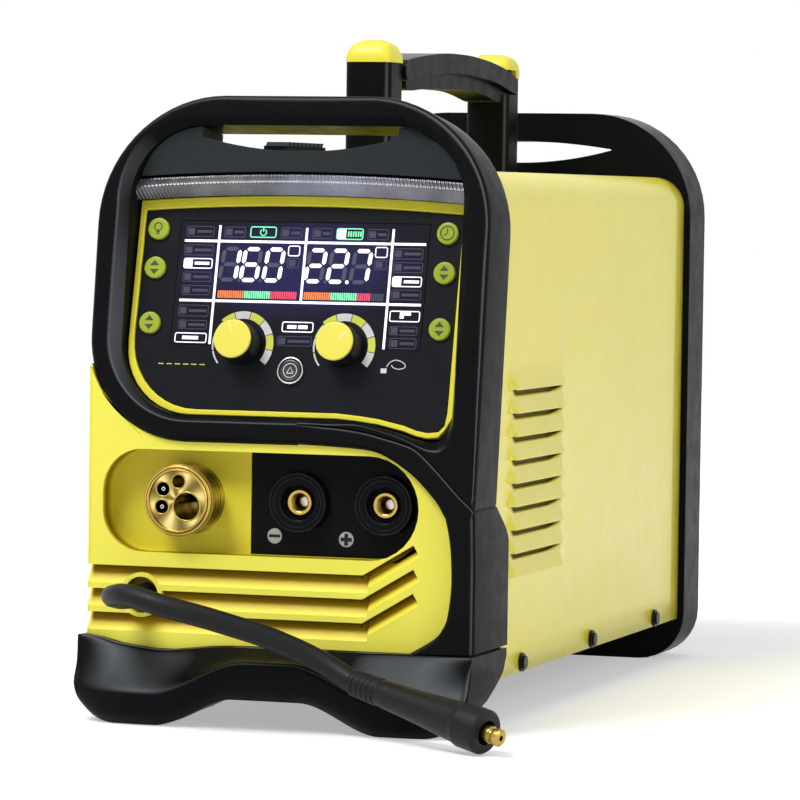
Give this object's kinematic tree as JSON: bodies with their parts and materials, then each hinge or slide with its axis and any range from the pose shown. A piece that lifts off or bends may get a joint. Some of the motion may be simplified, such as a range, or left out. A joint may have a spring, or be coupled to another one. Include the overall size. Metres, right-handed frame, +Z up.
{
  "type": "mig welding machine",
  "caption": "Compact inverter wire-feed welding machine with a digital panel, carrying handle, side door, current sockets and a polarity lead with its plug.",
  "frame": {"origin": "on the floor, under the middle of the machine's own box, without its lead", "axes": "+Z up, the front panel faces -Y, the louvred side is +X and the wire door is -X"},
  "size_m": [0.2535, 0.5382, 0.361],
  "materials": {
    "yellow_sheet": "semi-gloss powder coat",
    "black_sheet": "satin powder coat",
    "bare_sheet": "galvanised",
    "yellow_plastic": "fine texture",
    "black_plastic": "satin, fine texture",
    "rubber": "satin",
    "light_lens": "prism pattern",
    "led_board": "white solder mask",
    "panel_black": "gloss",
    "display": "lit display",
    "circuit_board": "solder mask",
    "button_plastic": "satin",
    "knob_plastic": "satin",
    "brass": "turned",
    "steel": "turned",
    "aluminium": "extruded",
    "red_plastic": "gloss",
    "spool_plastic": "satin",
    "copper": "varnished winding"
  },
  "bodies": {
    "case": {"base_pan": "black_sheet", "divider": "bare_sheet", "front_plate": "black_sheet", "rear_panel": "black_sheet", "side_cover": "yellow_sheet", "case_screws": "steel", "door_hinge": "bare_sheet", "latch_base": "black_plastic", "front_ring": "black_plastic", "lower_frame": "black_plastic", "front_foot": "black_plastic", "lower_fascia": "yellow_plastic", "visor_panel": "black_plastic", "light_lens": "light_lens", "light_board": "led_board", "panel_trim": "yellow_plastic", "control_panel": "panel_black", "display_module": "display", "control_board": "circuit_board", "encoders": "steel", "socket_plate": "black_plastic", "socket_bodies": "black_plastic", "socket_inserts": "brass", "torch_socket": "brass", "torch_contacts": "black_plastic", "polarity_lead": "rubber", "plug_body": "rubber", "plug_pin": "brass", "rear_frame": "black_plastic", "fan_frame": "black_plastic", "power_switch": "black_plastic", "mains_gland": "black_plastic", "gas_valve": "brass", "handle_posts": "black_plastic", "handle_grip": "black_plastic", "handle_caps": "yellow_plastic", "feed_plate": "black_plastic", "feed_motor": "steel", "spool_hub": "black_plastic", "inverter_board": "circuit_board", "heatsink": "aluminium", "transformer": "copper"},
    "door": {"wire_door": "yellow_sheet"},
    "latch": {"door_latch": "black_plastic"},
    "arm": {"pressure_arm": "black_plastic"},
    "idler": {"pressure_roll": "steel"},
    "tensioner": {"tension_rod": "black_plastic"},
    "drive": {"drive_roll": "steel"},
    "spool": {"wire_spool": "spool_plastic"},
    "fan": {"fan_rotor": "black_plastic"},
    "rocker": {"switch_rocker": "red_plastic"},
    "current_knob": {"knob_current": "knob_plastic"},
    "voltage_knob": {"knob_voltage": "knob_plastic"},
    "button_light_cap": {"button_light": "button_plastic"},
    "button_mode_cap": {"button_mode": "button_plastic"},
    "button_gas_cap": {"button_gas": "button_plastic"},
    "button_spot_cap": {"button_spot": "button_plastic"},
    "button_wire_cap": {"button_wire": "button_plastic"},
    "button_trigger_cap": {"button_trigger": "button_plastic"},
    "button_select_cap": {"button_select": "button_plastic"}
  },
  "joints": [
    {"name": "wire_door_hinge", "type": "hinge", "parent": "case", "child": "door", "pos_m": [-0.1015, 0, 0.031], "axis": [0, -1, 0], "range_deg": [0, 90]},
    {"name": "door_latch_slide", "type": "slide", "parent": "case", "child": "latch", "axis": [0, 1, 0], "range_m": [-0.01, 0]},
    {"name": "pressure_arm_pivot", "type": "hinge", "parent": "case", "child": "arm", "pos_m": [-0.0535, -0.069, 0.1325], "axis": [-1, 0, 0], "range_deg": [0, 40]},
    {"name": "pressure_roll_spin", "type": "hinge", "parent": "arm", "child": "idler", "pos_m": [-0.0535, -0.091, 0.1285], "axis": [1, 0, 0], "continuous": true},
    {"name": "tensioner_swing", "type": "hinge", "parent": "case", "child": "tensioner", "pos_m": [-0.0535, -0.115, 0.1285], "axis": [1, 0, 0], "range_deg": [-50, 0]},
    {"name": "drive_roll_spin", "type": "hinge", "parent": "case", "child": "drive", "pos_m": [-0.0535, -0.091, 0.1015], "axis": [1, 0, 0], "continuous": true},
    {"name": "wire_spool_spin", "type": "hinge", "parent": "case", "child": "spool", "pos_m": [-0.06, 0.0779, 0.158], "axis": [1, 0, 0], "continuous": true},
    {"name": "fan_spin", "type": "hinge", "parent": "case", "child": "fan", "pos_m": [0.048, 0.1948, 0.15], "axis": [0, 1, 0], "continuous": true},
    {"name": "power_switch_rock", "type": "hinge", "parent": "case", "child": "rocker", "pos_m": [0.055, 0.2088, 0.245], "axis": [1, 0, 0], "range_deg": [-16, 0]},
    {"name": "current_knob_turn", "type": "hinge", "parent": "case", "child": "current_knob", "pos_m": [-0.028, -0.19865, 0.1978], "axis": [0, -0.9732, 0.23], "continuous": true},
    {"name": "voltage_knob_turn", "type": "hinge", "parent": "case", "child": "voltage_knob", "pos_m": [0.028, -0.19865, 0.1978], "axis": [0, -0.9732, 0.23], "continuous": true},
    {"name": "button_light_press", "type": "slide", "parent": "case", "child": "button_light_cap", "axis": [0, 0.9732, -0.23], "range_m": [0, 0.001], "stiffness_N_per_m": 600, "springref_m": -0.0005},
    {"name": "button_mode_press", "type": "slide", "parent": "case", "child": "button_mode_cap", "axis": [0, 0.9732, -0.23], "range_m": [0, 0.001], "stiffness_N_per_m": 600, "springref_m": -0.0005},
    {"name": "button_gas_press", "type": "slide", "parent": "case", "child": "button_gas_cap", "axis": [0, 0.9732, -0.23], "range_m": [0, 0.001], "stiffness_N_per_m": 600, "springref_m": -0.0005},
    {"name": "button_spot_press", "type": "slide", "parent": "case", "child": "button_spot_cap", "axis": [0, 0.9732, -0.23], "range_m": [0, 0.001], "stiffness_N_per_m": 600, "springref_m": -0.0005},
    {"name": "button_wire_press", "type": "slide", "parent": "case", "child": "button_wire_cap", "axis": [0, 0.9732, -0.23], "range_m": [0, 0.001], "stiffness_N_per_m": 600, "springref_m": -0.0005},
    {"name": "button_trigger_press", "type": "slide", "parent": "case", "child": "button_trigger_cap", "axis": [0, 0.9732, -0.23], "range_m": [0, 0.001], "stiffness_N_per_m": 600, "springref_m": -0.0005},
    {"name": "button_select_press", "type": "slide", "parent": "case", "child": "button_select_cap", "axis": [0, 0.9732, -0.23], "range_m": [0, 0.001], "stiffness_N_per_m": 600, "springref_m": -0.0005}
  ],
  "couplings": [
    {"joint": "pressure_roll_spin", "follows": "drive_roll_spin", "ratio": -1.3636}
  ]
}
